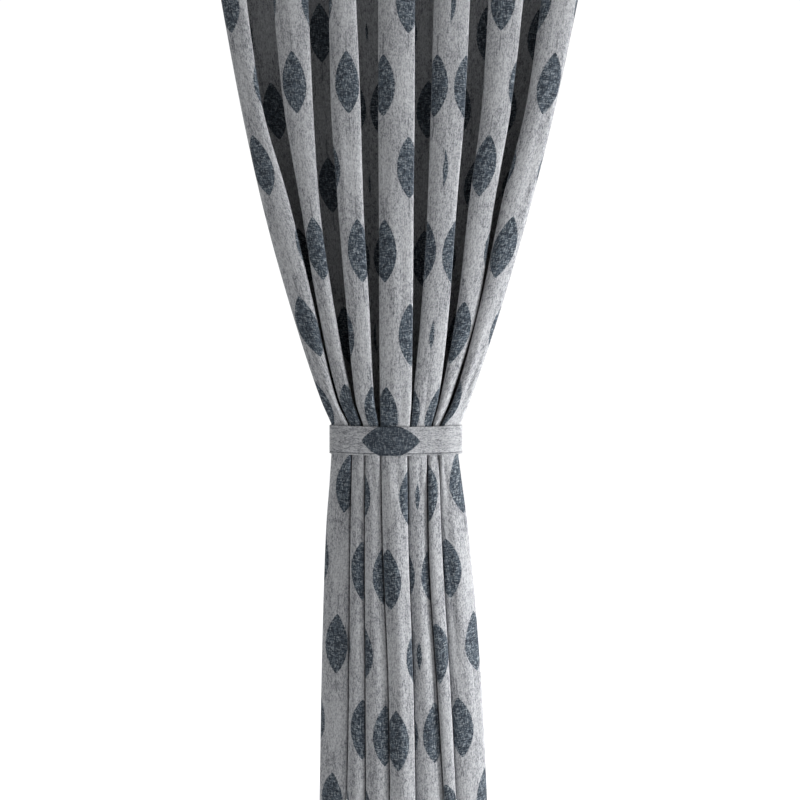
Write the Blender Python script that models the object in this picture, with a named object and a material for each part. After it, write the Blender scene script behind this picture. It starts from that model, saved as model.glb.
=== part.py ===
"""Gathered blackout curtain panel with its tie-back.

One sheet of cloth hangs in seven box-like front folds and is drawn in by a strap.
Metres, +Z up. The origin is the middle of the top edge, half-way through the depth of
the folds. The cloth hangs down from there, and its printed face looks along -Y.
"""
import math

import bmesh
import bpy
import numpy as np

MM = 0.001

# Cloth
CLOTH_LENGTH = 2.512
CLOTH_THICKNESS = 0.002
HEADING_DEPTH = 0.100
CREST_RADIUS = 0.007
VALLEY_RADIUS = 0.010
CREST_CROWN = 0.0015
# Share of a front fold's width that its walls slant in under it, on each side
UNDERCUT = 0.32
CORNER_STEPS = 2

# Heights where the folds are set out, in millimetres below the top edge. Steps is how many
# rows of faces there are down to the next height, and bow is how far the outer folds stand
# behind the middle ones.
HEIGHTS = (
    # name         drop  steps  bow
    ("head",          0,     3,  10),
    ("high",        436,     2,  12),
    ("upper",       712,     2,  15),
    ("middle",      988,     2,  20),
    ("above",      1264,     1,  27),
    ("band_top",   1331,     1,  30),
    ("band_foot",  1421,     2,  30),
    ("below",      1650,     3,  26),
    ("lower",      2092,     3,  20),
    ("hem",        2520,     0,  16),
)

# Left and right edges of each front fold at those heights, in millimetres from the middle
LEFT_EDGES = {
    # fold     head  high upper middle above band_top band_foot below lower  hem
    "first":  (-520, -439, -381, -304, -219, -190, -190, -208, -220, -226),
    "second": (-368, -326, -279, -233, -171, -141, -133, -138, -142, -149),
    "third":  (-201, -193, -174, -151, -124, -103,  -94,  -97,  -95,  -92),
    "fourth": ( -61,  -61,  -59,  -58,  -58,  -55,  -51,  -47,  -30,  -24),
    "fifth":  (  98,   86,   77,   61,   41,   32,   26,   26,   41,   48),
    "sixth":  ( 255,  229,  193,  162,  111,   92,   79,   84,  107,  134),
    "seventh": (413,  353,  284,  226,  149,  116,  112,  119,  145,  166),
}
RIGHT_EDGES = {
    # fold     head  high upper middle above band_top band_foot below lower  hem
    "first":  (-448, -386, -309, -243, -177, -145, -137, -142, -146, -156),
    "second": (-261, -243, -225, -186, -132, -108, -100, -102,  -99,  -97),
    "third":  (-129, -110, -102,  -87,  -73,  -60,  -56,  -51,  -34,  -30),
    "fourth": (  42,   41,   37,   33,   26,   27,   12,   22,   37,   43),
    "fifth":  ( 201,  182,  159,  139,  107,   88,   71,   75,  103,  128),
    "sixth":  ( 360,  312,  265,  222,  139,  111,  106,  115,  141,  161),
    "seventh": (519,  428,  363,  289,  193,  167,  164,  193,  227,  248),
}
# How far each fold stands behind the even bow of the whole, in millimetres
SET_BACKS = (0, 3, 0, -2, 2, 5, 0)
# Depth of the six valleys and the two side returns at the top edge, against HEADING_DEPTH
VALLEY_SHARES = (0.97, 1.05, 1.00, 1.04, 0.98, 1.02)
RETURN_SHARE = 0.90

# Strap
STRAP_HEIGHT = 0.080
STRAP_THICKNESS = 0.0025
STRAP_CLEARANCE = 0.002
STRAP_DIP = 0.004
STRAP_EDGE = 0.0008
STRAP_DIRECTIONS = 56
STRAP_RUN = 0.030
STRAP_TOP = 1.334

# Rows of the fine setting-out, on which cloth lengths are measured, and how often the
# search for a depth halves its range
FINE_ROWS = 120
HALVINGS = 30
# Rows are level down to this one of HEIGHTS
LEVEL_TO = 6

CLOTH_COLOUR = (0.40, 0.42, 0.44, 1.0)
STRAP_COLOUR = (0.42, 0.44, 0.46, 1.0)
CLOTH_ROUGHNESS = 0.85
SHARP_ANGLE = math.radians(40)


def smooth_value(places, values, at):
    """Value at a place on a smooth curve through the points, with no overshoot."""
    places = np.asarray(places, float)
    values = np.asarray(values, float)
    gaps = np.diff(places)
    slopes = np.diff(values) / gaps
    tangents = np.zeros(len(values))
    tangents[0] = slopes[0]
    tangents[-1] = slopes[-1]
    for i in range(1, len(values) - 1):
        if slopes[i - 1] * slopes[i] > 0:
            tangents[i] = 2 * slopes[i - 1] * slopes[i] / (slopes[i - 1] + slopes[i])
    i = min(max(np.searchsorted(places, at) - 1, 0), len(gaps) - 1)
    t = (at - places[i]) / gaps[i]
    ahead = t * t * (3 - 2 * t)
    start_bend = t * (1 - t) ** 2 * gaps[i] * tangents[i]
    end_bend = t * t * (t - 1) * gaps[i] * tangents[i + 1]
    return values[i] * (1 - ahead) + values[i + 1] * ahead + start_bend + end_bend


def round_corner(centre, radius, start, end, side):
    """Points (x, y, heading) round a corner. Side is 1 at a crest and -1 at a valley."""
    points = []
    for step in range(CORNER_STEPS + 1):
        heading = start + (end - start) * step / CORNER_STEPS
        x = centre[0] + side * radius * math.sin(heading)
        y = centre[1] - side * radius * math.cos(heading)
        points.append((x, y, heading))
    return points


def half_fold(edge, front, tilt, back_edge, back, valley_radius):
    """From a crest's face round its right edge, back along the wall and into the valley.

    With no valley radius the wall ends at a selvedge.
    """
    crest_centre = (edge - CREST_RADIUS, front + CREST_RADIUS)
    valley_centre = (back_edge + valley_radius, back - valley_radius)
    across = valley_centre[0] - crest_centre[0]
    behind = valley_centre[1] - crest_centre[1]
    straight = math.hypot(across, behind)
    wall = math.atan2(behind, across) + math.asin((CREST_RADIUS + valley_radius) / straight)
    points = round_corner(crest_centre, CREST_RADIUS, tilt, wall, 1)
    if valley_radius:
        points += round_corner(valley_centre, valley_radius, wall, 0.0, -1)
    else:
        points.append((valley_centre[0], valley_centre[1], wall))
    return points


def mirrored(points):
    """The same run on a fold's left side, still travelled from left to right."""
    return [(-x, y, -heading) for x, y, heading in reversed(points)]


def run_length(points):
    return sum(math.dist(a[:2], b[:2]) for a, b in zip(points, points[1:]))


class Level:
    """The folds' front edges and bow at one height."""

    def __init__(self, drop):
        places = [row[1] * MM for row in HEIGHTS]
        half = CLOTH_THICKNESS / 2
        self.left = [smooth_value(places, row, drop) * MM + half for row in LEFT_EDGES.values()]
        self.right = [smooth_value(places, row, drop) * MM - half for row in RIGHT_EDGES.values()]
        self.bow = smooth_value(places, [row[3] for row in HEIGHTS], drop) * MM
        self.middle = (self.left[0] + self.right[-1]) / 2
        self.half_width = (self.right[-1] - self.left[0]) / 2

    def front(self, x, fold):
        share = (x - self.middle) / self.half_width
        return -HEADING_DEPTH / 2 + self.bow * share ** 2 + SET_BACKS[fold] * MM

    def tilt(self, fold):
        centre = (self.left[fold] + self.right[fold]) / 2
        return math.atan(2 * self.bow * (centre - self.middle) / self.half_width ** 2)

    def crest(self, fold):
        """The middle point of a fold's face, which stands a little proud."""
        centre = (self.left[fold] + self.right[fold]) / 2
        tilt = self.tilt(fold)
        face = (self.front(self.left[fold], fold) + self.front(self.right[fold], fold)) / 2
        return (centre + CREST_CROWN * math.sin(tilt), face - CREST_CROWN * math.cos(tilt), tilt)

    def undercut(self, fold):
        return UNDERCUT * (self.right[fold] - self.left[fold])

    def right_half(self, fold, back, radius):
        edge = self.right[fold]
        return half_fold(edge, self.front(edge, fold), self.tilt(fold),
                         edge - self.undercut(fold), back, radius)

    def left_half(self, fold, back, radius):
        edge = self.left[fold]
        return mirrored(half_fold(-edge, self.front(edge, fold), -self.tilt(fold),
                                  -edge - self.undercut(fold), back, radius))

    def valley(self, fold, depth):
        """From one fold's crest through the valley on its right to the next fold's crest."""
        fronts = self.front(self.right[fold], fold) + self.front(self.left[fold + 1], fold + 1)
        back = fronts / 2 + depth
        into = self.right_half(fold, back, VALLEY_RADIUS)
        out = self.left_half(fold + 1, back, VALLEY_RADIUS)
        floor = ((into[-1][0] + out[0][0]) / 2, back, 0.0)
        return [self.crest(fold)] + into + [floor] + out + [self.crest(fold + 1)]

    def left_return(self, depth):
        back = self.front(self.left[0], 0) + depth
        return self.left_half(0, back, 0.0) + [self.crest(0)]

    def right_return(self, depth):
        last = len(self.right) - 1
        back = self.front(self.right[last], last) + depth
        return [self.crest(last)] + self.right_half(last, back, 0.0)


def depth_for(length, run):
    """Depth at which a run of cloth has the given length, by halving."""
    low = 3 * VALLEY_RADIUS
    high = 4 * HEADING_DEPTH
    for _ in range(HALVINGS):
        middle = (low + high) / 2
        if run_length(run(middle)) < length:
            low = middle
        else:
            high = middle
    return (low + high) / 2


def cloth_runs(level):
    """The runs that make up one section, each as a function of its depth."""
    runs = [level.left_return]
    for fold in range(len(LEFT_EDGES) - 1):
        runs.append(lambda depth, fold=fold: level.valley(fold, depth))
    runs.append(level.right_return)
    return runs


def heading_lengths():
    """Cloth length of each run, fixed by the depths at the top edge."""
    shares = (RETURN_SHARE,) + VALLEY_SHARES + (RETURN_SHARE,)
    runs = cloth_runs(Level(0.0))
    return [run_length(run(share * HEADING_DEPTH)) for run, share in zip(runs, shares)]


def section(drop, lengths):
    """Points (x, y, heading) along the cloth at one height, from selvedge to selvedge."""
    points = []
    for run, length in zip(cloth_runs(Level(drop)), lengths):
        part = run(depth_for(length, run))
        points += part if not points else part[1:]
    return points


def row_drops():
    """Drops below the top edge at which the sheet has a row of points."""
    rows = []
    for (_, low, steps, _), (_, high, _, _) in zip(HEIGHTS, HEIGHTS[1:]):
        rows += [(low + (high - low) * step / steps) * MM for step in range(steps)]
    return np.array(rows + [HEIGHTS[-1][1] * MM])


def hem_drops(drops, fine):
    """Drop at which each line down the cloth has used up the length of the cut cloth."""
    across = np.diff(fine[:, :, :2], axis=0)
    fall = np.diff(drops)[:, None]
    run = np.sqrt((across ** 2).sum(axis=2) + fall ** 2)
    used = np.vstack([np.zeros(fine.shape[1]), np.cumsum(run, axis=0)])
    return np.array([np.interp(CLOTH_LENGTH, column, drops) for column in used.T])


def lay_out_cloth():
    """Arrays of x, y, heading and height for each row and each point along it.

    The outer folds use more length to run in towards the strap, so they end a little
    higher than the middle ones. The rows below the strap close up to meet that hem.
    """
    lengths = heading_lengths()
    lowest = HEIGHTS[-1][1] * MM
    drops = np.linspace(0.0, lowest, FINE_ROWS)
    fine = np.array([section(drop, lengths) for drop in drops])
    hems = hem_drops(drops, fine)
    rows = row_drops()
    level = HEIGHTS[LEVEL_TO][1] * MM
    cloth = np.zeros((len(rows), fine.shape[1], 4))
    for row, drop in enumerate(rows):
        share = max(0.0, drop - level) / (lowest - level)
        cloth[row, :, 3] = share * (lowest - hems) - drop
    for column in range(fine.shape[1]):
        for axis in range(3):
            cloth[:, column, axis] = np.interp(-cloth[:, column, 3], drops, fine[:, column, axis])
    for row, (_, drop, _, _) in zip(np.cumsum([0] + [row[2] for row in HEIGHTS]), HEIGHTS):
        if drop <= HEIGHTS[LEVEL_TO][1]:
            cloth[row, :, :3] = section(drop * MM, lengths)
    return cloth


def faces_of_grid(rows, columns, closed):
    """Quads over a grid of points, going round if the grid is closed across."""
    last = columns if closed else columns - 1
    quads = []
    for row in range(rows - 1):
        for column in range(last):
            right = (column + 1) % columns
            low = row * columns
            high = (row + 1) * columns
            quads.append((low + column, low + right, high + right, high + column))
    return quads


def add_solid(name, points, quads, material):
    """An object from points and quads, with its faces turned outwards."""
    mesh = bpy.data.meshes.new(name)
    mesh.from_pydata([tuple(point) for point in points], [], quads)
    shape = bmesh.new()
    shape.from_mesh(mesh)
    bmesh.ops.recalc_face_normals(shape, faces=shape.faces)
    shape.to_mesh(mesh)
    shape.free()
    mesh.shade_smooth()
    mesh.set_sharp_from_angle(angle=SHARP_ANGLE)
    mesh.materials.append(material)
    thing = bpy.data.objects.new(name, mesh)
    bpy.context.collection.objects.link(thing)
    return thing


def add_curtain_panel(cloth, material):
    """The sheet: a front and a back layer of points, joined round the rim."""
    x, y, heading, z = np.moveaxis(cloth, 2, 0)
    half = CLOTH_THICKNESS / 2
    layers = []
    for side in (1, -1):
        layer_x = x + side * half * np.sin(heading)
        layer_y = y - side * half * np.cos(heading)
        layers.append(np.stack([layer_x, layer_y, z], axis=2).reshape(-1, 3))
    rows, columns = x.shape
    front = faces_of_grid(rows, columns, False)
    count = rows * columns
    back = [tuple(index + count for index in reversed(quad)) for quad in front]
    top = list(range(columns))
    right = [row * columns + columns - 1 for row in range(1, rows)]
    bottom = [(rows - 1) * columns + column for column in range(columns - 2, -1, -1)]
    left = [row * columns for row in range(rows - 2, 0, -1)]
    rim = top + right + bottom + left
    edge = [(a, b, b + count, a + count) for a, b in zip(rim, rim[1:] + rim[:1])]
    return add_solid("curtain_panel", np.vstack(layers), front + back + edge, material)


def strap_path(points):
    """Points (x, y, direction) of a taut strap round the points of the gathered cloth."""
    clear = CLOTH_THICKNESS / 2 + STRAP_CLEARANCE + STRAP_THICKNESS / 2
    path = []
    for step in range(STRAP_DIRECTIONS):
        direction = 2 * math.pi * (step + 0.5) / STRAP_DIRECTIONS
        outward = np.array([math.cos(direction), math.sin(direction)])
        touched = points[np.argmax(points @ outward)]
        path.append((*(touched + clear * outward), direction))
    split = []
    for here, ahead in zip(path, path[1:] + path[:1]):
        parts = max(1, math.ceil(math.dist(here[:2], ahead[:2]) / STRAP_RUN))
        split.append(here)
        square_on = math.atan2(here[0] - ahead[0], ahead[1] - here[1])
        for part in range(1, parts):
            x = here[0] + (ahead[0] - here[0]) * part / parts
            y = here[1] + (ahead[1] - here[1]) * part / parts
            split.append((x, y, square_on))
    return split


def strap_outline():
    """The strap's own section: points (outward, up) with its edges eased."""
    out = STRAP_THICKNESS / 2
    up = STRAP_HEIGHT / 2
    corners = [(out - STRAP_EDGE, up), (out, up - STRAP_EDGE)]
    corners += [(a, -b) for a, b in reversed(corners)]
    return corners + [(-a, b) for a, b in reversed(corners)]


def add_tie_back(cloth, material):
    """The strap: a closed loop round the gathered folds, lowest at the middle of its front."""
    drop = -cloth[:, :, 3]
    reach = STRAP_HEIGHT / 8
    held = (drop > STRAP_TOP - reach) & (drop < STRAP_TOP + STRAP_HEIGHT + reach)
    path = strap_path(cloth[held][:, :2])
    outline = strap_outline()
    half_width = max(abs(x) for x, _, _ in path)
    points = []
    for x, y, direction in path:
        at_front = math.sin(direction) < 0
        dip = STRAP_DIP * (1 - (x / half_width) ** 2) if at_front else 0.0
        middle = -STRAP_TOP - STRAP_HEIGHT / 2 - dip
        for out, up in outline:
            points.append((x + out * math.cos(direction), y + out * math.sin(direction), middle + up))
    quads = faces_of_grid(len(path), len(outline), True)
    last = (len(path) - 1) * len(outline)
    for corner in range(len(outline)):
        beside = (corner + 1) % len(outline)
        quads.append((last + corner, last + beside, beside, corner))
    return add_solid("tie_back", points, quads, material)


def cloth_material(name, colour):
    material = bpy.data.materials.new(name)
    material.use_nodes = True
    shader = material.node_tree.nodes["Principled BSDF"]
    shader.inputs["Base Color"].default_value = colour
    shader.inputs["Roughness"].default_value = CLOTH_ROUGHNESS
    shader.inputs["Metallic"].default_value = 0.0
    return material


def main():
    for thing in list(bpy.data.objects):
        bpy.data.objects.remove(thing)
    cloth = lay_out_cloth()
    add_curtain_panel(cloth, cloth_material("printed_cloth", CLOTH_COLOUR))
    add_tie_back(cloth, cloth_material("strap_cloth", STRAP_COLOUR))


main()
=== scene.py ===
"""Looks of the gathered curtain panel and its tie-back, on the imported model."""
import itertools
import math

import bpy
import numpy as np
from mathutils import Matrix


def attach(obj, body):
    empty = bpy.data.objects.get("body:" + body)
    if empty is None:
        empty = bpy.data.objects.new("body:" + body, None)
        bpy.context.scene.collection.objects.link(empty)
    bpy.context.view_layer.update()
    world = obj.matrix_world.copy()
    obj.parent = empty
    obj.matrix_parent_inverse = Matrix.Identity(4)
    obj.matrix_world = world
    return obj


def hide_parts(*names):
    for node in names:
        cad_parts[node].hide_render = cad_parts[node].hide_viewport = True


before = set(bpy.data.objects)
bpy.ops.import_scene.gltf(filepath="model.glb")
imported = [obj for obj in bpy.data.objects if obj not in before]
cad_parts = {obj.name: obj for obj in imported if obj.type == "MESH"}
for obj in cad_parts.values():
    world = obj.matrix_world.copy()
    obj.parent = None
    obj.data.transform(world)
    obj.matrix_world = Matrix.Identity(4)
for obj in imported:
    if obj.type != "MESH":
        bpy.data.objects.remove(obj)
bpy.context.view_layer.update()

MM = 0.001

# Cloth, in metres
CLOTH_LENGTH = 2.512
CLOTH_THICKNESS = 0.0016
# Depth of the folds at the top edge
HEADING_DEPTH = 0.100
VALLEY_RADIUS = 0.010
# A fold's corners are never larger than this share of its width
CORNER_SHARE = 0.30
# How many times larger the two outermost corners are, down to the strap and below it
OUTER_CORNER = 2.0
LOWER_OUTER_CORNER = 3.0
# How far a fold closes in behind its face on each side, as a share of its width
UNDERCUT = 0.32
# How far a face's edges lie behind the line of the folds, for each metre of its width and
# each unit of its slope there
EDGE_SET_IN = 0.125
# How far each fold stands behind the bow, in millimetres, down to the strap and from a little
# below it
SET_BACKS = (0, 3, 0, -2, 2, 5, 0)
LOWER_SET_BACKS = (12, 6, 1, -6, 5, -2, 5)
# Drops between which the folds change from the first of these to the second
SET_BACK_CHANGE = (1425, 1520)
# Points across each part of a fold
FACE_POINTS = 14
CORNER_POINTS = 7
WALL_POINTS = 4
VALLEY_POINTS = 5
FLOOR_POINTS = 4

# Heights where the folds are set out, in millimetres below the top edge. Bow is how far the
# outer folds stand behind the middle ones, turn is how far, in degrees, a fold's face turns
# from its middle to each rounded edge, and corner is the radius of those edges.
HEIGHTS = (
    # name         drop  bow  turn  corner
    ("head",          0,  10,  18,  10),
    ("high",        436,  12,  19,  10),
    ("upper",       712,  15,  19,  10),
    ("middle",      988,  20,  20,   9),
    ("above",      1264,  27,  15,   9),
    ("band_top",   1331,  30,   7,   6),
    ("band_foot",  1421,  30,   8,   6),
    ("below",      1650,  31,  25,   6),
    ("lower",      2092,  29,  28,   7),
    ("hem",        2520,  26,  26,   7),
)
HEM_DROP = HEIGHTS[-1][1]
# Places in HEIGHTS where the strap makes the folds change their slope at once
PINCHED = (5, 6)
# Left and right edges of each front fold at those heights, in millimetres from the middle
LEFT_EDGES = {
    # fold     head  high upper middle above band_top band_foot below lower  hem
    "first":  (-528, -448, -388, -313, -223, -194, -194, -212, -225, -231),
    "second": (-368, -326, -279, -233, -171, -141, -134, -139, -143, -151),
    "third":  (-201, -193, -174, -151, -124, -103,  -96,  -98,  -96,  -94),
    "fourth": ( -61,  -61,  -59,  -58,  -56,  -54,  -52,  -48,  -31,  -26),
    "fifth":  (  98,   86,   77,   61,   36,   30,   23,   25,   40,   47),
    "sixth":  ( 255,  229,  193,  162,  111,   92,   78,   80,  106,  132),
    "seventh": (413,  353,  284,  226,  149,  116,  110,  118,  144,  165),
}
RIGHT_EDGES = {
    "first":  (-448, -386, -309, -243, -177, -145, -136, -141, -145, -153),
    "second": (-261, -243, -225, -186, -132, -108,  -98, -100,  -98,  -96),
    "third":  (-129, -110, -102,  -86,  -71,  -59,  -54,  -50,  -33,  -28),
    "fourth": (  42,   41,   38,   36,   32,   27,   20,   23,   38,   45),
    "fifth":  ( 201,  182,  159,  139,  107,   88,   75,   77,  104,  130),
    "sixth":  ( 360,  312,  265,  222,  141,  113,  108,  116,  142,  163),
    "seventh": (529,  438,  369,  290,  198,  171,  165,  196,  233,  253),
}
# Depth of the six valleys and of the two side returns at the top edge, against HEADING_DEPTH.
# The cloth keeps its length across, so these set how deep the folds are further down.
VALLEY_SHARES = (0.97, 1.05, 1.00, 1.04, 0.98, 1.02)
RETURN_SHARE = 0.90
# Rounds in which a valley's depth is put right until it holds its length of cloth
DEPTH_STEPS = 8

# Rows of points down the cloth: from a drop, the next row follows at this spacing, both in
# millimetres
ROW_SPACINGS = (
    (0, 24),
    (1150, 9),
    (1600, 22),
)
# Drop to which the rows run level. Below it they rise or sink a little, so that every column
# has the same length of cloth.
LEVEL_TO = 1421

# Creases pressed into the front of the folds near the strap and softer bends elsewhere.
# Folds are numbered from 0 at the left. Place runs from -1 at a fold's left edge to 1 at its
# right one, and lean is how much it changes by the crease's lower end. The others are in
# millimetres, with the drop of the crease's middle.
CREASES = (
    # fold drop length place lean width rise
    (0, 1235, 190, -0.30, 0.45, 13, -2.2),
    (0, 1215, 150, 0.35, 0.25, 12, 1.5),
    (1, 1250, 150, 0.10, -0.20, 12, -1.8),
    (2, 1240, 170, -0.35, 0.15, 13, 1.5),
    (3, 1270, 130, 0.38, 0.05, 11, -2.4),
    (3, 1225, 170, -0.10, -0.10, 15, 1.3),
    (4, 1262, 150, 0.05, 0.05, 10, -2.4),
    (5, 1245, 150, 0.10, 0.10, 11, 1.3),
    (6, 1205, 230, 0.30, -0.20, 12, -2.4),
    (6, 1150, 260, -0.25, -0.20, 13, 1.5),
    (0, 1495, 120, 0.15, -0.30, 12, -2.6),
    (2, 1480, 110, -0.05, 0.15, 11, -2.2),
    (3, 1500, 150, 0.30, 0.20, 13, -3.0),
    (3, 1490, 120, -0.35, 0.05, 12, 1.8),
    (4, 1490, 130, 0.25, 0.15, 11, -2.6),
    (6, 1500, 200, -0.45, 0.20, 13, -3.6),
    (6, 1490, 170, 0.30, 0.25, 14, 2.6),
    (0, 430, 380, -0.15, 0.10, 22, -1.8),
    (2, 620, 420, 0.10, 0.05, 24, -1.6),
    (3, 880, 460, 0.35, 0.05, 22, -2.0),
    (4, 330, 420, 0.05, 0.0, 18, -1.8),
    (6, 560, 520, 0.35, -0.10, 22, -2.4),
    (0, 1950, 1100, 0.15, 0.0, 34, -3.6),
    (1, 1900, 900, 0.35, 0.0, 16, -2.0),
    (2, 1900, 900, 0.50, 0.0, 16, -2.0),
    (3, 2000, 1150, 0.05, 0.05, 30, 3.2),
    (3, 2050, 520, 0.45, 0.10, 22, -1.6),
    (4, 1900, 900, 0.05, 0.0, 22, 2.2),
    (6, 1900, 950, 0.05, 0.10, 34, 3.6),
    (6, 1780, 620, -0.55, 0.05, 14, -2.4),
    (6, 2150, 520, -0.10, 0.10, 24, -1.6),
)
# How quickly a crease dies away towards its ends
CREASE_FADE = 1.5

# Print. Leaves stand in columns and rows; a dark leaf and a pale one take turns both ways.
PRINT_LAYER = "print"
LEAF_COLUMN = 0.0695
LEAF_ROW = 0.2255
LEAF_LENGTH = 0.172
LEAF_HALF_WIDTH = 0.0338
# Where a leaf is widest, as a share of its length from the tip, and how full its sides are
LEAF_WIDEST = 0.53
LEAF_FULLNESS = 0.92
# Length of cloth from the top edge to the first row of the print
FIRST_TIP = 0.0718
# How far the print hangs below an even spacing, in millimetres, by drop
PRINT_SAG = (
    # drop  sag
    (   0,    0),
    ( 400,    8),
    ( 900,   20),
    (1300,   28),
    (1680,   20),
    (2000,    9),
    (2520,    0),
)
# Place of the dark leaf of the odd rows against the middle of each fold's face and of each
# valley's floor, in millimetres, at these drops
PLACE_DROPS = (408, 629, 850, 1071, 1264, 1512, 1733, 1968, 2202, 2341)
FACE_PLACES = (
    (57, 63, 70, 76, 111, 96, 87, 80, 87, 75),
    (-5, 0, 6, 7, 11, 11, 18, 18, 17, 17),
    (7, 13, 18, 21, 25, 29, 31, 29, 22, 22),
    (-37, -34, -32, -29, -26, -24, -22, -18, -13, -11),
    (-36, -41, -43, -46, -43, -44, -46, -57, -60, -63),
    (61, 58, 57, 57, 52, 46, 53, 59, 59, 59),
    (5, -3, -10, -22, -40, -49, -32, -44, -28, -33),
)
# Two parts of the print meet on fold five: this is the place of the part on the right
JOINED_FACE = 4
JOINED_FACE_PLACES = (47, 46, 41, 39, 40, 41, 38, 30, 20, 15)
# How far left the points in the middle of that face are moved, and the join with them, as a
# share of the face, by drop
JOIN_SKEW = (
    # drop  share
    (1512,  0.0),
    (1968,  0.19),
    (2202,  0.20),
)
FLOOR_PLACES = (-14, 67, 29, 19, -30, -25)
# They meet in the third valley too: this is the place of the part on the left
JOINED_FLOOR = 2
JOINED_FLOOR_PLACE = -50
# How far the print hangs lower in the valleys, in millimetres, by drop
FLOOR_SHIFT = (
    # drop  shift
    ( 243,   29),
    ( 477,   21),
    ( 712,    2),
    ( 933,  -11),
    (1250,    0),
    (2520,    0),
)

# How far the print hangs lower on each front fold, in millimetres, by drop
FACE_SHIFTS = (
    # drop  1   2   3   4   5   6   7
    ( 400,  0, -7, -5,  4,  2, -6,  0),
    ( 700,  0, -6, -4, -2,  0, -6,  2),
    ( 850,  0, -7,  0,  0,  2, -2,  6),
    (1060,  0,  0,  0,  0,  0,  0,  0),
    (1330,  0,  0,  0,  0,  0,  0,  0),
    (1530,  1,  0,  0,  0,  0,  0, 15),
    (1900, 18,  2,  2,  8,  2,  8, 22),
    (2170, 20,  2,  4, 10,  2, 12, 26),
    (2520, 20,  2,  6, 10,  2, 14, 24),
)
# The repeats across a wall are counted in one row, this part of the way down the rows
MATCHED_ROW = 3

# Strap
STRAP_HEIGHT = 0.080
STRAP_THICKNESS = 0.0025
STRAP_TOP = 1.334
# Gap between the strap and the folds, and how far the strap's front sags at its middle
STRAP_CLEARANCE = 0.0022
STRAP_DIP = 0.004
# The cloth from this far above the strap to this far below it sets the way round
STRAP_REACH = 0.010
# Directions in which the strap touches the folds, and the longest step between its points
STRAP_DIRECTIONS = 240
STRAP_RUN = 0.006
# Size of the eased edges, and their points in from the face and down from the edge, as
# shares of it
STRAP_EDGE = 0.0009
STRAP_EASING = ((1.4, 0.0), (0.3, 0.4), (0.0, 1.6))
# Lines of stitching: how far in from the edge, half their width, and their depth near the
# top edge and near the foot
STITCH_PLACE = 0.0052
STITCH_REACH = 0.0010
STITCH_DEPTH = 0.0002
FOOT_STITCH_DEPTH = 0.0010
STRAP_PLAIN_PLACE = 0.020
# Middle of the painted shade line along the foot's stitched groove, from the edge
STITCH_SHADE_PLACE = 0.0056
# The strap's print runs along it. Its columns are so far apart that one shows, and a leaf's
# tip lies this far from the middle of the front.
STRAP_LEAF_COLUMN = 0.20
STRAP_LEAF_LENGTH = 0.164
STRAP_LEAF_HALF_WIDTH = 0.046
STRAP_LEAF_TIP = 0.058

# Looks
GROUND = (0.475, 0.485, 0.503)
GROUND_DARK = (0.095, 0.10, 0.115)
PALE_LEAF = (0.62, 0.63, 0.64)
PALE_SHARE = 0.14
LEAF = (0.064, 0.083, 0.106)
LEAF_DARK = (0.014, 0.020, 0.030)
LEAF_LIGHT = (0.26, 0.29, 0.315)
CLOTH_SURFACE = {
    "Roughness": 0.88,
    "Specular IOR Level": 0.25,
    "Sheen Weight": 0.12,
    "Sheen Roughness": 0.5,
}
FRONT_SLOT, BACK_SLOT = 0, 1
# Where each cloth's noise starts, how much of the print shows on the back, and how much
# darker the strap's leaf is
FRONT_SEED, BACK_SEED, STRAP_SEED = 0.0, 40.0, 80.0
BACK_STRENGTH = 0.12
STRAP_DARKENED = 0.38

# Noise in the weave and the print, with its features for each metre
NOISES = {
    # which    across  down  seed  detail  roughness
    "ragged":  (420,   300,   1.5,  3.0,  0.60),
    "slub":    (260,    50,   3.1,  2.0,  0.60),
    "fine":    (430,   150,   4.7,  2.0,  0.60),
    "weft":    (120,   360,   6.3,  2.0,  0.60),
    "streak":  ( 60,     5,   8.9,  3.0,  0.55),
    "cluster": ( 24,    11,  11.3,  2.0,  0.50),
    "cross":   (300,    80,  14.2,  3.0,  0.70),
    "weave":   ( 85,   290,  16.8,  3.0,  0.70),
    "blotch":  ( 75,    60,  19.1,  3.0,  0.60),
}
# Smooth steps: between the places from and to, the value goes from first to last
STEPS = {
    # which           from     to      first  last
    "leaf_side":    (-0.0004, 0.0010,  0.0,   1.0),
    "leaf_tip":     ( 0.0,    0.02,    0.0,   1.0),
    "leaf_foot":    ( 1.0,    0.985,   0.0,   1.0),
    "slub":         ( 0.34,   0.70,    0.0,   1.0),
    "slub_cluster": ( 0.30,   0.75,    0.88,  1.0),
    "fine":         ( 0.38,   0.64,    0.0,   0.50),
    "weft":         ( 0.42,   0.66,    0.0,   0.20),
    "streak":       ( 0.35,   0.72,   -0.17,  0.08),
    "stem_side":    ( 0.0022, 0.0008,  0.0,   1.0),
    "stem_top":     ( 1.0,    1.02,    0.0,   1.0),
    "stem_broken":  ( 0.42,   0.54,    0.0,   1.0),
    "blotch":       ( 0.40,   0.62,    0.0,   0.7),
    "light_thread": ( 0.50,   0.62,    0.0,   1.0),
    "dark_thread":  ( 0.50,   0.40,    0.0,   1.0),
    # painted shade line along the strap's foot stitching
    "seam_shade":       ( 0.0022, 0.0008,  0.0,   0.55),
}
# How far a leaf's edge and a stem stray with their noise, in metres
RAGGED_EDGE = 0.006
STEM_SWAY = 0.003
# How much slubs, stems and each way of the leaves' threads count
SLUB_SHARE = 0.44
STEM_SHARE = 0.70
CROSSING_SHARE = 0.5
# Relief of the threads
THREAD_HEIGHTS = {"slub": 0.6, "fine": 0.25, "weft": 0.25}
RELIEF_STRENGTH = 0.35
RELIEF_DISTANCE = 0.0008

# Stage, in metres and watts. The floor and the world turn white behind the cloth.
WHITE = (1.0, 1.0, 1.0, 1.0)
WORLD_DIM = 0.26
WORLD_WHITE = 1.05
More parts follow.
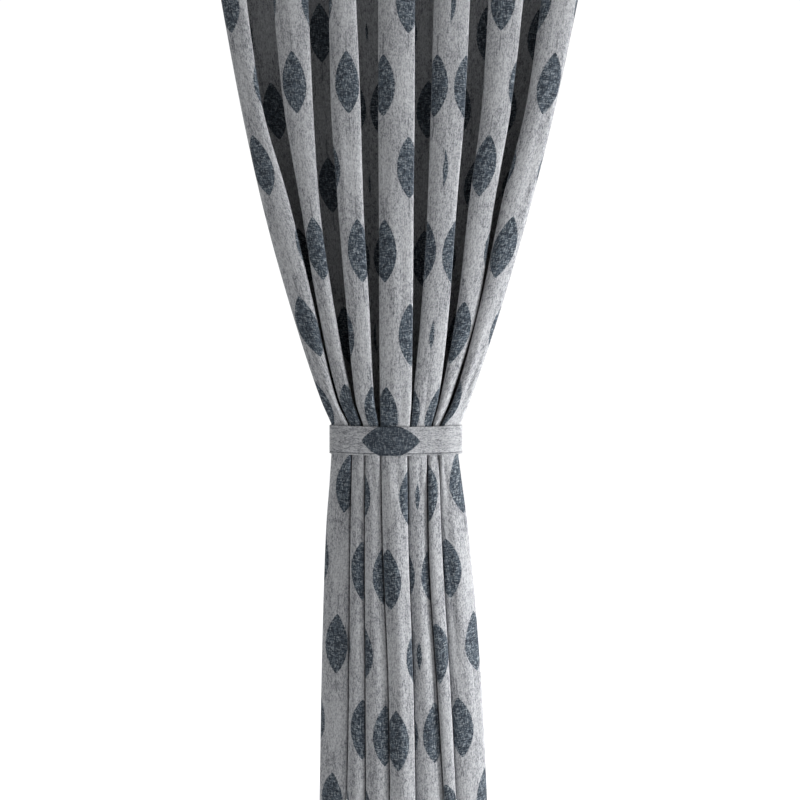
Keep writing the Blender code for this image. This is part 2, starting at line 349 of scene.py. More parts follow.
# The world changes between these, where 1 is straight behind the cloth
WORLD_DIM_TO = 0.56
WORLD_WHITE_FROM = 0.72
FLOOR_ACROSS = (-6.0, 6.0)
FLOOR_DEEP = (-6.0, 9.0)
FLOOR_HEIGHT = -2.53
FLOOR_COLOUR = (0.85, 0.85, 0.85, 1.0)
FLOOR_ROUGHNESS = 0.9
# The floor's glow grows between these places, from front to back
FLOOR_GLOW_FROM = -0.40
FLOOR_GLOW_TO = 0.22
FLOOR_GLOW_LEAST = 0.20
FLOOR_GLOW_MOST = 0.75
LIGHTS = (
    # name   place                  target              size        power
    ("key",  (3.6, -1.05, -1.75),   (0.0, 0.0, -1.65),  (0.9, 1.4), 195.0),
    ("fill", (-2.7, -1.9, -0.9),    (0.0, 0.0, -1.2),   (0.9, 2.4),  15.0),
)
CAMERA_PLACE = (0.0, -1.95, -1.264)
CAMERA_LENS = 30.96


def at_drop(drop, table, number=1, unit=MM):
    """What a table's column says at one drop or more, in metres. Its first column holds the
    drops in millimetres."""
    return np.interp(drop, [row[0] * MM for row in table], [row[number] * unit for row in table])


def smooth_value(places, values, at):
    """Value at a place on a smooth curve through the points, with no overshoot. The curve
    has a sharp bend at the pinched places."""
    places = np.asarray(places, float)
    values = np.asarray(values, float)
    gaps = np.diff(places)
    slopes = np.diff(values) / gaps
    arriving = np.append(slopes[:1], slopes)
    leaving = np.append(slopes, slopes[-1:])
    for i in range(1, len(values) - 1):
        if i in PINCHED:
            continue
        before, after = slopes[i - 1], slopes[i]
        bend = 2 * before * after / (before + after) if before * after > 0 else 0.0
        arriving[i] = leaving[i] = bend
    i = min(max(np.searchsorted(places, at) - 1, 0), len(gaps) - 1)
    t = (at - places[i]) / gaps[i]
    ahead = t * t * (3 - 2 * t)
    start_bend = t * (1 - t) ** 2 * gaps[i] * leaving[i]
    end_bend = t * t * (t - 1) * gaps[i] * arriving[i + 1]
    return values[i] * (1 - ahead) + values[i + 1] * ahead + start_bend + end_bend


def corner(x, y, radius, start, end, side, count):
    """Points (x, y, heading) round a corner. Side is 1 at a crest and -1 at a valley."""
    heading = np.linspace(start, end, count)
    return np.stack([x + side * radius * np.sin(heading),
                     y - side * radius * np.cos(heading), heading], axis=1)


def half_fold(edge, front, start, radius, back_edge, back, valley_radius):
    """From the end of a crest's face round its right corner, back along the wall and into
    the valley. With no valley radius the wall ends at a selvedge."""
    crest_x, crest_y = edge - radius, front + radius
    valley_x, valley_y = back_edge + valley_radius, back - valley_radius
    across, behind = valley_x - crest_x, valley_y - crest_y
    straight = math.hypot(across, behind)
    wall = math.atan2(behind, across) + math.asin((radius + valley_radius) / straight)
    crest = corner(crest_x, crest_y, radius, start, wall, 1, CORNER_POINTS)
    valley = corner(valley_x, valley_y, valley_radius, wall, 0.0, -1, VALLEY_POINTS)
    share = np.linspace(0, 1, WALL_POINTS + 2)[1:-1, None]
    between = crest[-1] * (1 - share) + valley[0] * share
    if not valley_radius:
        valley = valley[:1]
    return np.vstack([crest, between, valley])


def mirrored(points):
    """The same run on a fold's left side, still travelled from left to right."""
    return points[::-1] * np.array([-1.0, 1.0, -1.0])


def bent_face(left, right, skew):
    """Points between the two corners of a face, on a curve that leaves and meets them
    smoothly. Skew moves the middle point to the left by that share of the curve."""
    chord = math.dist(left[:2], right[:2])
    t = np.linspace(0, 1, FACE_POINTS + 2)[1:-1, None]
    t = t - skew * 4 * t * (1 - t)
    start, end = left[:2], right[:2]
    out = np.array([math.cos(left[2]), math.sin(left[2])]) * chord
    into = np.array([math.cos(right[2]), math.sin(right[2])]) * chord
    place = ((2 * t ** 3 - 3 * t ** 2 + 1) * start + (t ** 3 - 2 * t ** 2 + t) * out
             + (3 * t ** 2 - 2 * t ** 3) * end + (t ** 3 - t ** 2) * into)
    way = ((6 * t ** 2 - 6 * t) * (start - end) + (3 * t ** 2 - 4 * t + 1) * out
           + (3 * t ** 2 - 2 * t) * into)
    return np.column_stack([place, np.arctan2(way[:, 1], way[:, 0])])


class Level:
    """The folds' front edges, bow and turn at one height."""

    def __init__(self, drop):
        _, drops, bows, turns, corners = zip(*HEIGHTS)
        places = [height_drop * MM for height_drop in drops]
        drop = min(drop, places[-1])
        half = CLOTH_THICKNESS / 2
        self.left = [smooth_value(places, row, drop) * MM + half for row in LEFT_EDGES.values()]
        self.right = [smooth_value(places, row, drop) * MM - half for row in RIGHT_EDGES.values()]
        self.bow = smooth_value(places, bows, drop) * MM
        self.turn = math.radians(smooth_value(places, turns, drop))
        self.corner = smooth_value(places, corners, drop) * MM
        begins, ends = SET_BACK_CHANGE
        lower = min(max((drop / MM - begins) / (ends - begins), 0.0), 1.0)
        self.outer_corner = OUTER_CORNER * (1 - lower) + LOWER_OUTER_CORNER * lower
        self.set_backs = [(above * (1 - lower) + below * lower) * MM
                          for above, below in zip(SET_BACKS, LOWER_SET_BACKS)]
        self.join_skew = at_drop(drop, JOIN_SKEW, unit=1.0)
        self.middle = (self.left[0] + self.right[-1]) / 2
        self.half_width = (self.right[-1] - self.left[0]) / 2

    def front(self, x, fold):
        """How far back the line of the folds runs at this place across."""
        share = (x - self.middle) / self.half_width
        return -HEADING_DEPTH / 2 + self.bow * share ** 2 + self.set_backs[fold]

    def side(self, fold, back, is_left):
        """One half of a fold, from the end of its face back to the valley or selvedge."""
        width = self.right[fold] - self.left[fold]
        centre = (self.left[fold] + self.right[fold]) / 2
        tilt = math.atan(2 * self.bow * (centre - self.middle) / self.half_width ** 2)
        at_end = fold == (0 if is_left else len(self.left) - 1)
        radius = min(self.corner * (self.outer_corner if at_end else 1.0), CORNER_SHARE * width)
        set_in = (width - radius) * math.tan(self.turn) * EDGE_SET_IN
        valley_radius = 0.0 if at_end else VALLEY_RADIUS
        edge = self.left[fold] if is_left else self.right[fold]
        front = self.front(edge, fold) + set_in
        hand = -1 if is_left else 1
        half = half_fold(hand * edge, front, self.turn + hand * tilt, radius,
                         hand * edge - UNDERCUT * width, back, valley_radius)
        return mirrored(half) if is_left else half

    def valley_back(self, valley, depth):
        """How far back a valley of this depth reaches. Valleys are numbered from the left
        return, and the last one is the right return."""
        beside = []
        if valley > 0:
            beside.append(self.front(self.right[valley - 1], valley - 1))
        if valley < len(self.left):
            beside.append(self.front(self.left[valley], valley))
        return sum(beside) / len(beside) + depth

    def run_length(self, valley, depth):
        """Length of cloth in a valley or return, between the faces beside it."""
        back = self.valley_back(valley, depth)
        length = 0.0
        ends = []
        if valley > 0:
            ends.append(self.side(valley - 1, back, False))
        if valley < len(self.left):
            ends.append(self.side(valley, back, True))
        for half in ends:
            length += np.hypot(*np.diff(half[:, :2], axis=0).T).sum()
        if len(ends) == 2:
            length += abs(ends[1][0, 0] - ends[0][-1, 0])
        for fold in (valley - 1, valley):
            if 0 <= fold < len(self.left):
                length += (self.right[fold] - self.left[fold]) / 2
        return length

    def depths(self, lengths):
        """Depths at which the valleys and returns hold their lengths of cloth."""
        found = []
        for valley, length in enumerate(lengths):
            walls = 1 if valley in (0, len(lengths) - 1) else 2
            depth = HEADING_DEPTH
            for _ in range(DEPTH_STEPS):
                depth += (length - self.run_length(valley, depth)) / walls
            found.append(depth)
        return found

    def points(self, depths):
        """Points (x, y, heading) along the cloth, from selvedge to selvedge."""
        parts = []
        for fold in range(len(self.left)):
            out = self.side(fold, self.valley_back(fold, depths[fold]), True)
            into = self.side(fold, self.valley_back(fold + 1, depths[fold + 1]), False)
            if parts:
                share = np.linspace(0, 1, FLOOR_POINTS + 2)[1:-1, None]
                parts.append(parts[-1][-1] * (1 - share) + out[0] * share)
            skew = self.join_skew if fold == JOINED_FACE else 0.0
            parts += [out, bent_face(out[-1], into[0], skew), into]
        return np.vstack(parts)


def sections(drops):
    """The cloth's points at each drop, with the same length of cloth in each valley all the
    way down."""
    top = Level(0.0)
    shares = (RETURN_SHARE,) + VALLEY_SHARES + (RETURN_SHARE,)
    lengths = [top.run_length(valley, share * HEADING_DEPTH)
               for valley, share in enumerate(shares)]
    found = []
    for drop in drops:
        level = Level(drop)
        found.append(level.points(level.depths(lengths)))
    return np.array(found)


def column_kinds():
    """For each column of points, which stretch of the cloth it is part of: a face, a wall or
    a valley's floor, and its number from the left."""
    kinds = []
    folds = len(LEFT_EDGES)
    for fold in range(folds):
        ends = VALLEY_POINTS if fold else 1
        kinds += [("floor", fold - 1)] * ends + [("wall", fold)] * WALL_POINTS
        kinds += [("face", fold)] * (2 * CORNER_POINTS + FACE_POINTS)
        kinds += [("wall", fold)] * WALL_POINTS
        kinds += [("floor", fold)] * (VALLEY_POINTS if fold < folds - 1 else 1)
        if fold < folds - 1:
            kinds += [("floor", fold)] * FLOOR_POINTS
    return kinds


def stretches_of(kinds):
    """The stretches of the cloth from left to right: (kind, number, its columns)."""
    grouped = itertools.groupby(range(len(kinds)), lambda column: kinds[column])
    return [(*stretch, list(columns)) for stretch, columns in grouped]


def row_drops():
    """Drops of the rows of points, closer together where the strap gathers the cloth."""
    rows = []
    ends = [start for start, _ in ROW_SPACINGS[1:]] + [HEM_DROP]
    for (start, spacing), end in zip(ROW_SPACINGS, ends):
        count = round((end - start) / spacing)
        rows += [start + (end - start) * step / count for step in range(count)]
    return np.array(rows + [HEM_DROP]) * MM


def lay_out_cloth():
    """Arrays of x, y, heading and height for each row and each point along it."""
    lowest = HEM_DROP * MM
    drops = row_drops()
    level = LEVEL_TO * MM
    fine = sections(drops)
    across = np.diff(fine[:, :, :2], axis=0)
    run = np.sqrt((across ** 2).sum(axis=2) + np.diff(drops)[:, None] ** 2)
    used = np.vstack([np.zeros(fine.shape[1]), np.cumsum(run, axis=0)])
    hems = np.array([np.interp(CLOTH_LENGTH, column, drops) for column in used.T])
    share = np.maximum(0.0, drops - level)[:, None] / (lowest - level)
    cloth = np.zeros(fine.shape[:2] + (4,))
    cloth[:, :, 3] = share * (lowest - hems)[None, :] - drops[:, None]
    for column in range(fine.shape[1]):
        for axis in range(3):
            cloth[:, column, axis] = np.interp(-cloth[:, column, 3], drops, fine[:, column, axis])
    return cloth


def press_creases(cloth, kinds):
    """Moves the faces of the folds in and out along soft creases."""
    for fold, drop, length, place, lean, width, rise in CREASES:
        columns = [column for column, kind in enumerate(kinds) if kind == ("face", fold)]
        face = cloth[:, columns[0]:columns[-1] + 1]
        left = face[:, :, 0].min(axis=1, keepdims=True)
        right = face[:, :, 0].max(axis=1, keepdims=True)
        half_width = (right - left) / 2
        down = (-face[:, :, 3] - drop * MM) / (length * MM / 2)
        line = (left + right) / 2 + (place + lean * down) * half_width
        off = (face[:, :, 0] - line) / (width * MM / 2)
        fade = np.clip(1 - down ** 2, 0, None) ** CREASE_FADE
        amount = rise * MM * np.exp(-off ** 2) * fade
        face[:, :, 0] += amount * np.sin(face[:, :, 2])
        face[:, :, 1] -= amount * np.cos(face[:, :, 2])


def cloth_lengths(cloth):
    """Length of cloth to each point, along its row and down its column."""
    rows, columns = cloth.shape[:2]
    xy = cloth[:, :, :2]
    step = np.sqrt((np.diff(xy, axis=1) ** 2).sum(axis=2))
    along = np.hstack([np.zeros((rows, 1)), np.cumsum(step, axis=1)])
    sunk = np.diff(cloth[:, :, 3], axis=0)
    fall = np.sqrt((np.diff(xy, axis=0) ** 2).sum(axis=2) + sunk ** 2)
    length = np.vstack([np.zeros((1, columns)), np.cumsum(fall, axis=0)])
    return along, length


class PrintLayout:
    """Print coordinates, in metres, of each point of the cloth. Two parts of the print can
    meet at a point, so start is the place across for the quads that begin there and end is
    the one for those that end there."""

    def __init__(self, cloth, kinds):
        self.drop = -cloth[:, :, 3]
        self.along, self.length = cloth_lengths(cloth)
        self.start = np.zeros(self.along.shape)
        self.end = np.zeros(self.along.shape)
        self.lowered = np.zeros(self.along.shape)
        stretches = stretches_of(kinds)
        for kind, number, run in stretches:
            if kind == "face":
                self.place_face(number, run)
            elif kind == "floor" and 0 <= number < len(LEFT_EDGES) - 1:
                self.place_floor(number, run)
        for kind, _, run in stretches:
            if kind == "wall":
                self.place_wall(run)
        self.down = self.length - FIRST_TIP - at_drop(self.length, PRINT_SAG) - self.lowered

    def place_face(self, number, run):
        """Sets the print on a fold's face."""
        drop = self.drop[:, (run[0] + run[-1]) // 2]
        place_drops = np.array(PLACE_DROPS) * MM
        left = right = np.interp(drop, place_drops, FACE_PLACES[number]) * MM
        if number == JOINED_FACE:
            right = np.interp(drop, place_drops, JOINED_FACE_PLACES) * MM
        self.lowered[:, run] = at_drop(drop, FACE_SHIFTS, 1 + number)[:, None]
        self.place_halves(run, left, right)

    def place_floor(self, number, run):
        """Sets the print on the floor of a valley."""
        left = right = FLOOR_PLACES[number] * MM
        if number == JOINED_FLOOR:
            left = JOINED_FLOOR_PLACE * MM
        self.lowered[:, run] = at_drop(self.length[:, run], FLOOR_SHIFT)
        self.place_halves(run, left, right)

    def place_halves(self, run, left, right):
        """Sets the print on the left and right halves of a stretch, from its middle."""
        middle = (run[0] + run[-1]) // 2
        centre = (self.along[:, run[0]] + self.along[:, run[-1]]) / 2
        for column in run:
            local = self.along[:, column] - centre
            self.start[:, column] = local - (right if column >= middle else left)
            self.end[:, column] = local - (right if column > middle else left)

    def place_wall(self, run):
        """Sets the print on a wall, from the stretches beside it that already have theirs."""
        before, after = run[0] - 1, run[-1] + 1
        last = self.along.shape[1] - 1
        if before == 0:
            self.place_return(range(after), after)
        elif after == last:
            self.place_return(range(run[0], last + 1), before)
        else:
            self.place_between(run, before, after)

    def place_return(self, columns, beside):
        """Runs the print on evenly from the outermost face to the selvedge."""
        for column in columns:
            part = self.along[:, column] - self.along[:, beside]
            self.start[:, column] = self.end[:, column] = self.start[:, beside] + part
            self.lowered[:, column] = self.lowered[:, beside]

    def place_between(self, run, before, after):
        """Stretches the print over a wall, with the nearest whole number of repeats in it,
        and moves all that follows by those repeats."""
        gap = self.along[:, after] - self.along[:, before]
        row = len(gap) // MATCHED_ROW
        spare = self.start[row, before] + gap[row] - self.end[row, after]
        moved = round(spare / (2 * LEAF_COLUMN)) * (2 * LEAF_COLUMN)
        self.start[:, after:] += moved
        self.end[:, after:] += moved
        for column in run:
            part = (self.along[:, column] - self.along[:, before]) / gap
            across = self.start[:, before] * (1 - part) + self.end[:, after] * part
            self.start[:, column] = self.end[:, column] = across
            self.lowered[:, column] = (self.lowered[:, before] * (1 - part)
                                       + self.lowered[:, after] * part)

    def quad_places(self, row, column):
        """Print coordinates at the four corners of a quad of the cloth."""
        return [(self.start[row, column], self.down[row, column]),
                (self.start[row + 1, column], self.down[row + 1, column]),
                (self.end[row + 1, column + 1], self.down[row + 1, column + 1]),
                (self.end[row, column + 1], self.down[row, column + 1])]


def add_mesh(name, points, quads, materials, picks, corners):
    """An object with a print coordinate at each corner of each face."""
    mesh = bpy.data.meshes.new(name)
    mesh.from_pydata([tuple(point) for point in points], [], quads)
    for material in materials:
        mesh.materials.append(material)
    mesh.polygons.foreach_set("material_index", np.asarray(picks, np.int32))
    layer = mesh.uv_layers.new(name=PRINT_LAYER)
    layer.data.foreach_set("uv", np.asarray(corners, np.float32).ravel())
    mesh.shade_smooth()
    mesh.update()
    thing = bpy.data.objects.new(name, mesh)
    bpy.context.collection.objects.link(thing)
    return thing


def both_layers(cloth):
    """The points of the cloth's front layer, then those of its back layer."""
    x, y, heading, z = np.moveaxis(cloth, 2, 0)
    half = CLOTH_THICKNESS / 2
    layers = []
    for side in (1, -1):
        layer = [x + side * half * np.sin(heading), y - side * half * np.cos(heading), z]
        layers.append(np.stack(layer, axis=2).reshape(-1, 3))
    return np.vstack(layers)


def rim_of(rows, columns):
    """Row and column of each point round the edge of the cloth, in order."""
    rim = [(0, column) for column in range(columns)]
    rim += [(row, columns - 1) for row in range(1, rows)]
    rim += [(rows - 1, column) for column in range(columns - 2, -1, -1)]
    return rim + [(row, 0) for row in range(rows - 2, 0, -1)]


def add_panel(front, back):
    """The sheet, in two layers of quads joined round the rim. Gives its laid-out cloth too."""
    cloth = lay_out_cloth()
    kinds = column_kinds()
    press_creases(cloth, kinds)
    layout = PrintLayout(cloth, kinds)
    rows, columns = cloth.shape[:2]
    behind = rows * columns
    quads, corners, picks = [], [], []
    for row in range(rows - 1):
        for column in range(columns - 1):
            first = row * columns + column
            quad = (first, first + columns, first + columns + 1, first + 1)
            places = layout.quad_places(row, column)
            quads += [quad, tuple(index + behind for index in reversed(quad))]
            corners += places + places[::-1]
            picks += [FRONT_SLOT, BACK_SLOT]
    rim = rim_of(rows, columns)
    for here, ahead in zip(rim, rim[1:] + rim[:1]):
        first, second = (row * columns + column for row, column in (here, ahead))
        quads.append((first, second, second + behind, first + behind))
        at_first, at_second = ((layout.start[at], layout.down[at]) for at in (here, ahead))
        corners += [at_first, at_second, at_second, at_first]
        picks.append(BACK_SLOT)
    panel = add_mesh("panel_sheet", both_layers(cloth), quads, [front, back], picks, corners)
    return panel, cloth


def strap_path(points):
    """Points (x, y, direction) of a taut strap round the points of the gathered cloth."""
    clear = CLOTH_THICKNESS / 2 + STRAP_CLEARANCE + STRAP_THICKNESS / 2
    path = []
    for step in range(STRAP_DIRECTIONS):
        direction = 2 * math.pi * (step + 0.5) / STRAP_DIRECTIONS
        outward = np.array([math.cos(direction), math.sin(direction)])
        touched = points[np.argmax(points @ outward)]
        path.append((*(touched + clear * outward), direction))
    split = []
    for here, ahead in zip(path, path[1:] + path[:1]):
        distance = math.dist(here[:2], ahead[:2])
        parts = max(1, math.ceil(distance / STRAP_RUN))
        split.append(here)
        square_on = math.atan2(here[0] - ahead[0], ahead[1] - here[1])
        for part in range(1, parts):
            share = part / parts
            split.append((here[0] + (ahead[0] - here[0]) * share,
                          here[1] + (ahead[1] - here[1]) * share, square_on))
    return split


def strap_edge(stitch_depth):
    """Points (in from the face, up) from the strap's eased upper edge, past a shallow line
    of stitching, to its plain part."""
    up = STRAP_HEIGHT / 2
    points = [(STRAP_EDGE * inward, up - STRAP_EDGE * down) for inward, down in STRAP_EASING]
    points.append((0.0, up - STITCH_PLACE + STITCH_REACH))
    points.append((stitch_depth, up - STITCH_PLACE))
    points.append((0.0, up - STITCH_PLACE - STITCH_REACH))
    points.append((0.0, up - STRAP_PLAIN_PLACE))
    return points


def strap_outline():
    """The strap's own section: points (outward, up) down its front and up its back."""
    outer = strap_edge(STITCH_DEPTH)
    outer += [(inward, -up) for inward, up in reversed(strap_edge(FOOT_STITCH_DEPTH))]
    front = [(STRAP_THICKNESS / 2 - inward, up) for inward, up in outer]
    return front + [(-out, up) for out, up in reversed(front)]


def strap_points(path, outline):
    """The strap's section at each point of its path, lowest at the middle of the front."""
    half_width = max(abs(x) for x, _, _ in path)
    points = []
    for x, y, direction in path:
        at_front = math.sin(direction) < 0
        dip = STRAP_DIP * (1 - (x / half_width) ** 2) if at_front else 0.0
        middle = -STRAP_TOP - STRAP_HEIGHT / 2 - dip
        across, back = math.cos(direction), math.sin(direction)
        points += [(x + out * across, y + out * back, middle + up) for out, up in outline]
    return points


def add_strap(cloth, material):
    """The strap: a closed loop round the gathered folds."""
    drop = -cloth[:, :, 3]
    held = (drop > STRAP_TOP - STRAP_REACH) & (drop < STRAP_TOP + STRAP_HEIGHT + STRAP_REACH)
    path = strap_path(cloth[held][:, :2])
    outline = strap_outline()
    size = len(outline)
    along = [0.0]
    for here, ahead in zip(path, path[1:] + path[:1]):
        along.append(along[-1] + math.dist(here[:2], ahead[:2]))
    at_middle = min(range(len(path)), key=lambda i: (math.sin(path[i][2]) > 0, abs(path[i][0])))
    quads, corners = [], []
    for step in range(len(path)):
        after = (step + 1) % len(path)
        for point in range(size):
            beside = (point + 1) % size
            quads.append((step * size + point, after * size + point,
                          after * size + beside, step * size + beside))
            for place, which in ((step, point), (step + 1, point),
                                 (step + 1, beside), (step, beside)):
                run = along[place] - along[at_middle]
                corners.append((outline[which][1] + STRAP_LEAF_COLUMN, STRAP_LEAF_TIP - run))
    return add_mesh("tie_back_strap", strap_points(path, outline), quads, [material],
                    [FRONT_SLOT] * len(quads), corners)


class Nodes:
    """Short ways to add and join shader nodes."""

    def __init__(self, tree):
        self.tree = tree

    def put(self, value, socket):
        """Links a socket to another one, or sets it to a value."""
        if isinstance(value, bpy.types.NodeSocket):
            self.tree.links.new(value, socket)
        else:
            socket.default_value = value

    def join(self, operation, *values, clamp=False):
        """Result of a maths operation."""
        node = self.tree.nodes.new("ShaderNodeMath")
        node.operation = operation
        node.use_clamp = clamp
        for value, socket in zip(values, node.inputs):
            self.put(value, socket)
        return node.outputs[0]

    def add(self, first, second):
        """First plus second."""
        return self.join("ADD", first, second)

    def less(self, first, second):
        """First less second."""
        return self.join("SUBTRACT", first, second)

    def times(self, first, second):
        """First times second."""
        return self.join("MULTIPLY", first, second)

    def over(self, first, second):
        """First divided by second."""
        return self.join("DIVIDE", first, second)

    def ramp(self, value, low, high, out_low=0.0, out_high=1.0):
        """Smooth step from one value to another."""
        node = self.tree.nodes.new("ShaderNodeMapRange")
        node.interpolation_type = "SMOOTHSTEP"
        for entry, socket in zip((value, low, high, out_low, out_high), node.inputs):
            self.put(entry, socket)
        return node.outputs["Result"]

    def parts(self, vector):
        """The x, y and z of a vector."""
        node = self.tree.nodes.new("ShaderNodeSeparateXYZ")
        self.put(vector, node.inputs[0])
        return list(node.outputs)

    def blend(self, share, first, second):
        """A share of the second colour over the first one."""
        node = self.tree.nodes.new("ShaderNodeMix")
        node.data_type = "RGBA"
        colours = [socket for socket in node.inputs if socket.type == "RGBA"]
        self.put(share, node.inputs[0])
        for value, socket in zip((first, second), colours):
            if isinstance(value, tuple):
                value = value + (1.0,)
            self.put(value, socket)
        return [socket for socket in node.outputs if socket.type == "RGBA"][0]


class PrintedCloth(Nodes):
    """Slubbed weave with leaves in columns and rows, worked out from the print coordinates.
    Strength is how much of the print shows."""

    def __init__(self, material, strength, leaf_sizes, seed):
        super().__init__(material.node_tree)
        self.strength = strength
        self.leaf_column, self.leaf_length, self.leaf_half_width = leaf_sizes
        places = self.tree.nodes.new("ShaderNodeUVMap")
        places.uv_map = PRINT_LAYER
        self.across, self.down, _ = self.parts(places.outputs[0])
        self.noises = {which: self.noise(which, seed) for which in NOISES}
        self.find_cell()

    def noise(self, which, seed):
        """One of the NOISES, from 0 to 1."""
        across_scale, down_scale, own_seed, detail, roughness = NOISES[which]
        place = self.tree.nodes.new("ShaderNodeCombineXYZ")
        self.put(self.times(self.across, across_scale), place.inputs[0])
        self.put(self.times(self.down, down_scale), place.inputs[1])
        self.put(seed + own_seed, place.inputs[2])
        node = self.tree.nodes.new("ShaderNodeTexNoise")
        self.put(1.0, node.inputs["Scale"])
        self.put(detail, node.inputs["Detail"])
        self.put(roughness, node.inputs["Roughness"])
        self.put(place.outputs[0], node.inputs["Vector"])
        return node.outputs[0]

    def step(self, which, value):
        """One of the STEPS."""
        return self.ramp(value, *STEPS[which])

    def find_cell(self):
        """The print's column and row at each place, how far that place is from the middle of
        its column, and how far down its leaf it is, as a share of the leaf's length."""
        self.column = self.join("FLOOR", self.add(self.over(self.across, self.leaf_column), 0.5))
        self.row = self.join("FLOOR", self.over(self.down, LEAF_ROW))
        self.from_middle = self.less(self.across, self.times(self.column, self.leaf_column))
        from_tip = self.less(self.down, self.times(self.row, LEAF_ROW))
        self.share = self.over(from_tip, self.leaf_length)

    def leaves(self):
        """Dark leaves and pale ones: 1 inside and 0 outside, with a ragged edge."""
        above = self.over(self.less(LEAF_WIDEST, self.share), LEAF_WIDEST)
        below = self.over(self.less(self.share, LEAF_WIDEST), 1 - LEAF_WIDEST)
        off = self.join("MINIMUM", self.join("MAXIMUM", above, below), 1.0)
        swell = self.join("POWER", self.less(1.0, self.times(off, off)), LEAF_FULLNESS)
        half_width = self.times(swell, self.leaf_half_width)
        ragged = self.times(self.less(self.noises["ragged"], 0.5), RAGGED_EDGE)
        spare = self.less(half_width, self.join("ABSOLUTE", self.from_middle))
        leaf = self.step("leaf_side", self.add(spare, ragged))
        leaf = self.times(leaf, self.step("leaf_tip", self.share))
        leaf = self.times(leaf, self.step("leaf_foot", self.share))
        turn = self.join("ABSOLUTE", self.join("MODULO", self.add(self.column, self.row), 2.0))
        return self.times(leaf, turn), self.times(leaf, self.less(1.0, turn))

    def ground(self):
        """Short slubs down the cloth, fine threads and weft, and long soft streaks."""
        slubs = self.times(self.step("slub", self.noises["slub"]),
                           self.step("slub_cluster", self.noises["cluster"]))
        threads = self.add(self.step("fine", self.noises["fine"]),
                           self.step("weft", self.noises["weft"]))
        darker = self.add(self.times(slubs, SLUB_SHARE), threads)
        streaks = self.step("streak", self.noises["streak"])
        darker = self.join("ADD", darker, streaks, clamp=True)
        return self.blend(darker, GROUND, GROUND_DARK)

    def stems(self):
        """Thin broken lines from the foot of each leaf to the next one down."""
        sway = self.times(self.less(self.noises["streak"], 0.5), STEM_SWAY)
        off = self.join("ABSOLUTE", self.add(self.from_middle, sway))
        stem = self.step("stem_side", off)
        stem = self.times(stem, self.step("stem_top", self.share))
        stem = self.times(stem, self.step("stem_broken", self.noises["cluster"]))
        return self.times(stem, STEM_SHARE * self.strength)

    def leaf_colour(self, darkened):
        """Light and dark threads crossing in the dark leaves."""
        crossing = self.add(self.times(self.noises["cross"], CROSSING_SHARE),
                            self.times(self.noises["weave"], CROSSING_SHARE))
        colour = self.blend(self.step("blotch", self.noises["blotch"]), LEAF, LEAF_DARK)
        colour = self.blend(self.step("light_thread", crossing), colour, LEAF_LIGHT)
        colour = self.blend(self.step("dark_thread", crossing), colour, LEAF_DARK)
        return self.blend(darkened, colour, LEAF_DARK)

    def painted_seam_shade(self, colour, seam_shade_at):
        """Painted shade: a darker line along a stitched groove, at this place across."""
        off = self.join("ABSOLUTE", self.less(self.across, seam_shade_at))
        return self.blend(self.step("seam_shade", off), colour, LEAF_DARK)

    def relief(self):
        """Normal of the threads."""
        slub, fine, weft = (self.times(self.noises[which], share)
                            for which, share in THREAD_HEIGHTS.items())
        bump = self.tree.nodes.new("ShaderNodeBump")
        self.put(RELIEF_STRENGTH, bump.inputs["Strength"])
        self.put(RELIEF_DISTANCE, bump.inputs["Distance"])
        self.put(self.add(self.add(slub, fine), weft), bump.inputs["Height"])
        return bump.outputs[0]


def new_material(name):
    """A plain material with nodes."""
    material = bpy.data.materials.new(name)
    material.use_nodes = True
    return material


def cloth_material(name, strength, leaf_sizes, seed, darkened=0.0, seam_shade_at=None):
    """The printed cloth, with its leaves darkened by a share and a line of painted shade along
    the stitching.
    """
    material = new_material(name)
    cloth = PrintedCloth(material, strength, leaf_sizes, seed)
    dark, pale = cloth.leaves()
    colour = cloth.blend(cloth.times(pale, PALE_SHARE * strength), cloth.ground(), PALE_LEAF)
    colour = cloth.blend(cloth.stems(), colour, GROUND_DARK)
    colour = cloth.blend(cloth.times(dark, strength), colour, cloth.leaf_colour(darkened))
    # Painted shade: a darker line along the strap's foot stitching
    if seam_shade_at is not None:
        colour = cloth.painted_seam_shade(colour, seam_shade_at)
    shader = cloth.tree.nodes["Principled BSDF"]
    cloth.put(colour, shader.inputs["Base Color"])
    cloth.put(cloth.relief(), shader.inputs["Normal"])
    for socket, value in CLOTH_SURFACE.items():
        shader.inputs[socket].default_value = value
    return material


def floor_material():
    """Pale floor that glows white from just behind the cloth."""
    material = new_material("floor")
    nodes = Nodes(material.node_tree)
    shader = nodes.tree.nodes["Principled BSDF"]
    place = nodes.tree.nodes.new("ShaderNodeTexCoord")
    back = nodes.parts(place.outputs["Object"])[1]
    glow = nodes.ramp(back, FLOOR_GLOW_FROM, FLOOR_GLOW_TO, FLOOR_GLOW_LEAST, FLOOR_GLOW_MOST)
    nodes.put(FLOOR_COLOUR, shader.inputs["Base Color"])
    nodes.put(FLOOR_ROUGHNESS, shader.inputs["Roughness"])
    nodes.put(WHITE, shader.inputs["Emission Color"])
    nodes.put(glow, shader.inputs["Emission Strength"])
    return material


def add_floor():
    """The pale floor under and behind the cloth."""
    mesh = bpy.data.meshes.new("floor")
    (left, right), (front, back) = FLOOR_ACROSS, FLOOR_DEEP
    corners = [(x, y, FLOOR_HEIGHT) for x, y in ((left, front), (right, front),
                                                 (right, back), (left, back))]
    mesh.from_pydata(corners, [], [(0, 1, 2, 3)])
    mesh.materials.append(floor_material())
    floor = bpy.data.objects.new("floor", mesh)
    bpy.context.collection.objects.link(floor)


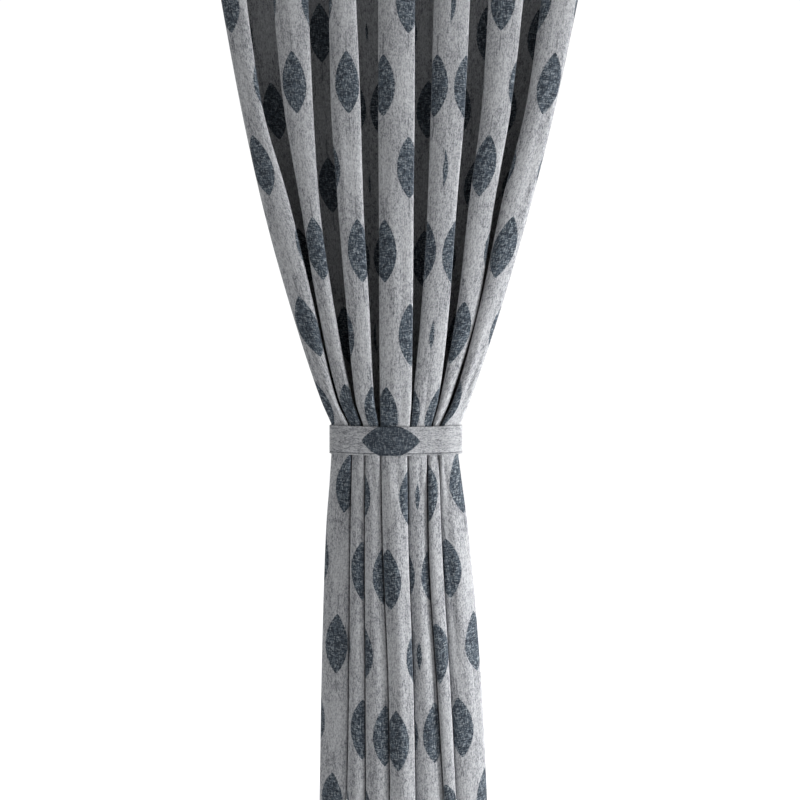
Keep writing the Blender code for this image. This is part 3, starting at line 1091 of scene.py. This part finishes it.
def add_light(name, place, target, size, power):
    """A soft white rectangle of light that faces its target."""
    lamp = bpy.data.lights.new(name, "AREA")
    lamp.shape = "RECTANGLE"
    lamp.size, lamp.size_y = size
    lamp.energy = power
    light = bpy.data.objects.new(name, lamp)
    light.location = place
    way = np.array(target) - np.array(place)
    tip = math.atan2(math.hypot(way[0], way[1]), -way[2])
    light.rotation_euler = (tip, 0.0, math.atan2(way[1], way[0]) - math.pi / 2)
    bpy.context.collection.objects.link(light)


def set_world():
    """Dim in front and at the sides, and white behind the cloth."""
    world = bpy.data.worlds.new("studio")
    bpy.context.scene.world = world
    world.use_nodes = True
    nodes = Nodes(world.node_tree)
    background = nodes.tree.nodes["Background"]
    place = nodes.tree.nodes.new("ShaderNodeTexCoord")
    back = nodes.parts(place.outputs["Generated"])[1]
    strength = nodes.ramp(back, WORLD_DIM_TO, WORLD_WHITE_FROM, WORLD_DIM, WORLD_WHITE)
    nodes.put(strength, background.inputs["Strength"])
    nodes.put(WHITE, background.inputs["Color"])


def add_camera():
    """The camera, level and square on to the cloth."""
    lens = bpy.data.cameras.new("camera")
    lens.lens = CAMERA_LENS
    camera = bpy.data.objects.new("camera", lens)
    camera.location = CAMERA_PLACE
    camera.rotation_euler = (math.pi / 2, 0.0, 0.0)
    bpy.context.collection.objects.link(camera)
    bpy.context.scene.camera = camera


def set_stage():
    """Floor, lights, world and camera."""
    add_floor()
    for light in LIGHTS:
        add_light(*light)
    set_world()
    add_camera()
    bpy.context.scene.view_settings.view_transform = "Standard"
    bpy.context.scene.view_settings.look = "None"


def main():
    """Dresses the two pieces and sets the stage."""
    panel_leaf = (LEAF_COLUMN, LEAF_LENGTH, LEAF_HALF_WIDTH)
    strap_leaf = (STRAP_LEAF_COLUMN, STRAP_LEAF_LENGTH, STRAP_LEAF_HALF_WIDTH)
    # Place of the painted shade line along the strap's foot stitching
    foot_seam_shade_at = STRAP_LEAF_COLUMN - STRAP_HEIGHT / 2 + STITCH_SHADE_PLACE
    front = cloth_material("printed_cloth", 1.0, panel_leaf, FRONT_SEED)
    back = cloth_material("cloth_back", BACK_STRENGTH, panel_leaf, BACK_SEED)
    band = cloth_material("strap_cloth", 1.0, strap_leaf, STRAP_SEED, STRAP_DARKENED, foot_seam_shade_at)
    panel, cloth = add_panel(front, back)
    strap = add_strap(cloth, band)
    for piece, node, finish in ((panel, "curtain_panel", "panel_cloth"),
                                (strap, "tie_back", "strap_cloth")):
        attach(piece, "root")
        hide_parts(node)
    set_stage()


main()
